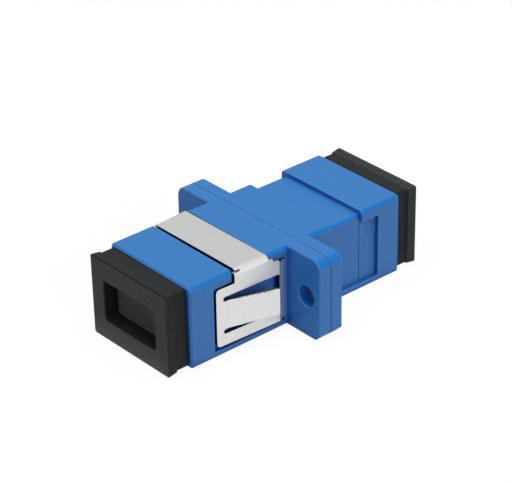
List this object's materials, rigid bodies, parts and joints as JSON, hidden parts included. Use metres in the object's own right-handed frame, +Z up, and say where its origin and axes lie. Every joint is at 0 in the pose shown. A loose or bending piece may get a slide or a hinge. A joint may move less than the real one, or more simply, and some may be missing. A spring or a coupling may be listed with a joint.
{
  "type": "fiber optic adapter",
  "caption": "Panel-mount coupling for two push-pull fiber optic connectors, with a screw flange, a steel snap clip and a dust cap in each port.",
  "frame": {"origin": "centre of the adapter: on the optical axis, in the parting plane between the two housing halves", "axes": "+X along the flange, +Y along the optical axis towards the rear port, +Z up; the clip is on the -Y half"},
  "size_m": [0.022, 0.0334, 0.0092],
  "materials": {
    "housing": "blue moulded PBT with a fine satin skin",
    "insert": "natural moulded plastic, hidden inside",
    "ceramic": "ground zirconia ceramic, hidden inside",
    "clip": "satin stainless spring steel, 0.3 mm",
    "cap": "black moulded plastic, matte"
  },
  "bodies": {
    "adapter": {"front_housing": "housing", "rear_housing": "housing", "front_latch_insert": "insert", "rear_latch_insert": "insert", "split_sleeve": "ceramic", "spring_clip": "clip"},
    "front_cap": {"front_dust_cap": "cap"},
    "rear_cap": {"rear_dust_cap": "cap"}
  },
  "joints": [
    {"name": "front_cap_slide", "type": "slide", "parent": "adapter", "child": "front_cap", "axis": [0, -1, 0], "range_m": [0, 0.008]},
    {"name": "rear_cap_slide", "type": "slide", "parent": "adapter", "child": "rear_cap", "axis": [0, 1, 0], "range_m": [0, 0.008]}
  ]
}
